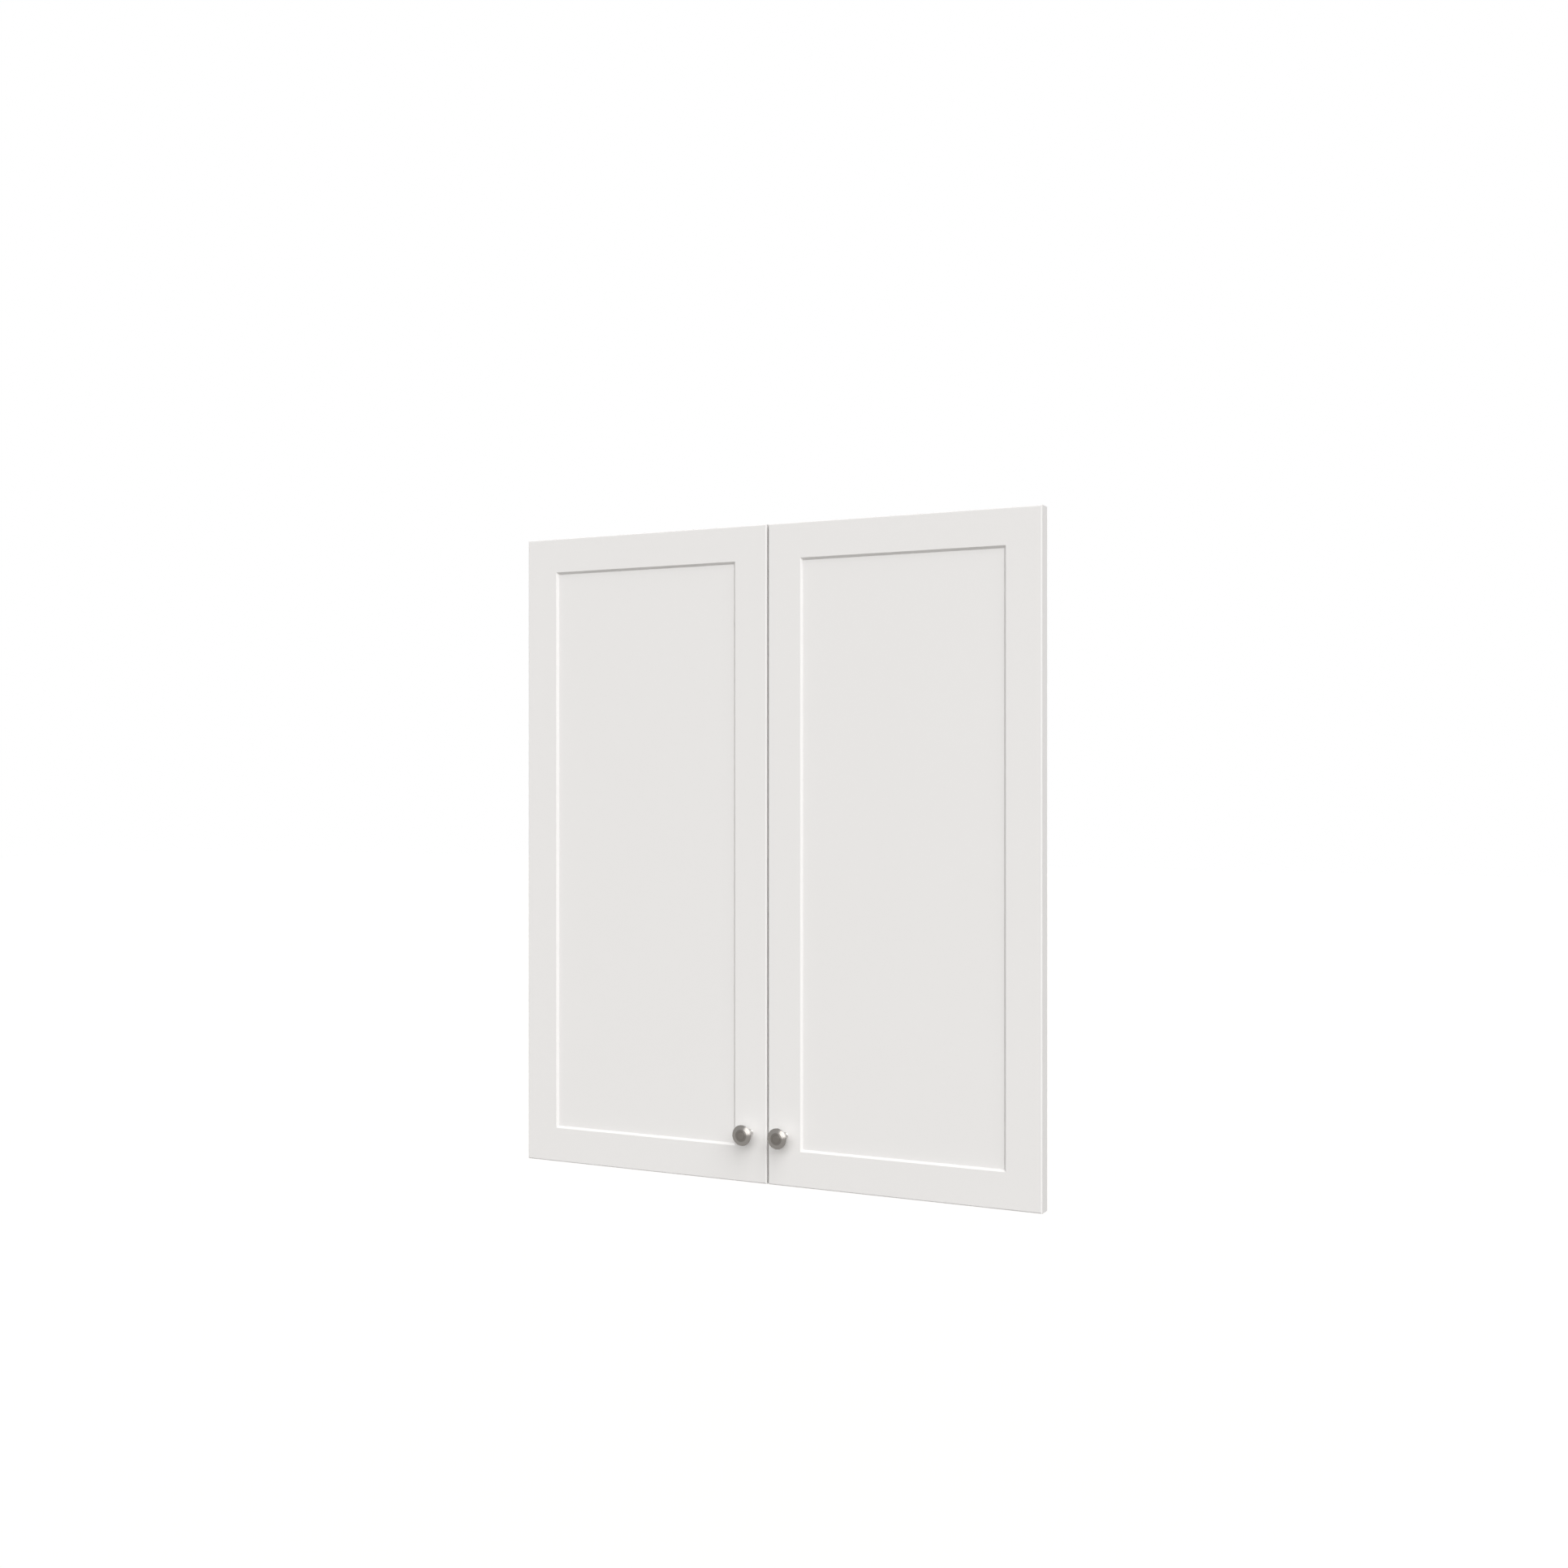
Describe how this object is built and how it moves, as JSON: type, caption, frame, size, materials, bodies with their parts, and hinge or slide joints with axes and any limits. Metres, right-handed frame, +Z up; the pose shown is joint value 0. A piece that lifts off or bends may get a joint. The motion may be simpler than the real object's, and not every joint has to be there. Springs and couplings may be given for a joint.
{
  "type": "wall cabinet door pair",
  "caption": "White framed wall-cabinet doors that meet in the middle, with recessed panels, turned metal knobs low at the meeting edges and concealed cup hinges behind.",
  "frame": {"origin": "midway between the two doors, at their bottom edge, on the plane of their backs", "axes": "+X to the right seen from the front, +Y into the cabinet, +Z up"},
  "size_m": [0.797, 0.1007, 0.917],
  "materials": {
    "white_paint": "satin white paint on fibreboard",
    "satin_nickel": "turned satin nickel",
    "nickel_plate": "nickel-plated steel",
    "cast_zinc": "die-cast zinc, plated",
    "plated_steel": "zinc-plated steel",
    "clear_rubber": "clear soft bumper"
  },
  "bodies": {
    "hinge_mounts": {"left_lower_hinge_arm": "nickel_plate", "left_lower_mounting_plate": "cast_zinc", "left_upper_hinge_arm": "nickel_plate", "left_upper_mounting_plate": "cast_zinc", "left_clamp_screws": "plated_steel", "left_adjusting_screws": "plated_steel", "right_lower_hinge_arm": "nickel_plate", "right_lower_mounting_plate": "cast_zinc", "right_upper_hinge_arm": "nickel_plate", "right_upper_mounting_plate": "cast_zinc", "right_clamp_screws": "plated_steel", "right_adjusting_screws": "plated_steel"},
    "left_door": {"left_hinge_stile": "white_paint", "left_meeting_stile": "white_paint", "left_bottom_rail": "white_paint", "left_top_rail": "white_paint", "left_panel": "white_paint", "left_knob": "satin_nickel", "left_knob_screw": "plated_steel", "left_bumpers": "clear_rubber", "left_cup_screws": "plated_steel", "left_lower_hinge_cup": "nickel_plate", "left_lower_hinge_pin": "plated_steel", "left_upper_hinge_cup": "nickel_plate", "left_upper_hinge_pin": "plated_steel"},
    "right_door": {"right_hinge_stile": "white_paint", "right_meeting_stile": "white_paint", "right_bottom_rail": "white_paint", "right_top_rail": "white_paint", "right_panel": "white_paint", "right_knob": "satin_nickel", "right_knob_screw": "plated_steel", "right_bumpers": "clear_rubber", "right_cup_screws": "plated_steel", "right_lower_hinge_cup": "nickel_plate", "right_lower_hinge_pin": "plated_steel", "right_upper_hinge_cup": "nickel_plate", "right_upper_hinge_pin": "plated_steel"}
  },
  "joints": [
    {"name": "left_door_swing", "type": "hinge", "parent": "hinge_mounts", "child": "left_door", "pos_m": [-0.3913, -0.01, 0], "axis": [0, 0, -1], "range_deg": [0, 95]},
    {"name": "right_door_swing", "type": "hinge", "parent": "hinge_mounts", "child": "right_door", "pos_m": [0.3913, -0.01, 0], "axis": [0, 0, 1], "range_deg": [0, 95]}
  ]
}
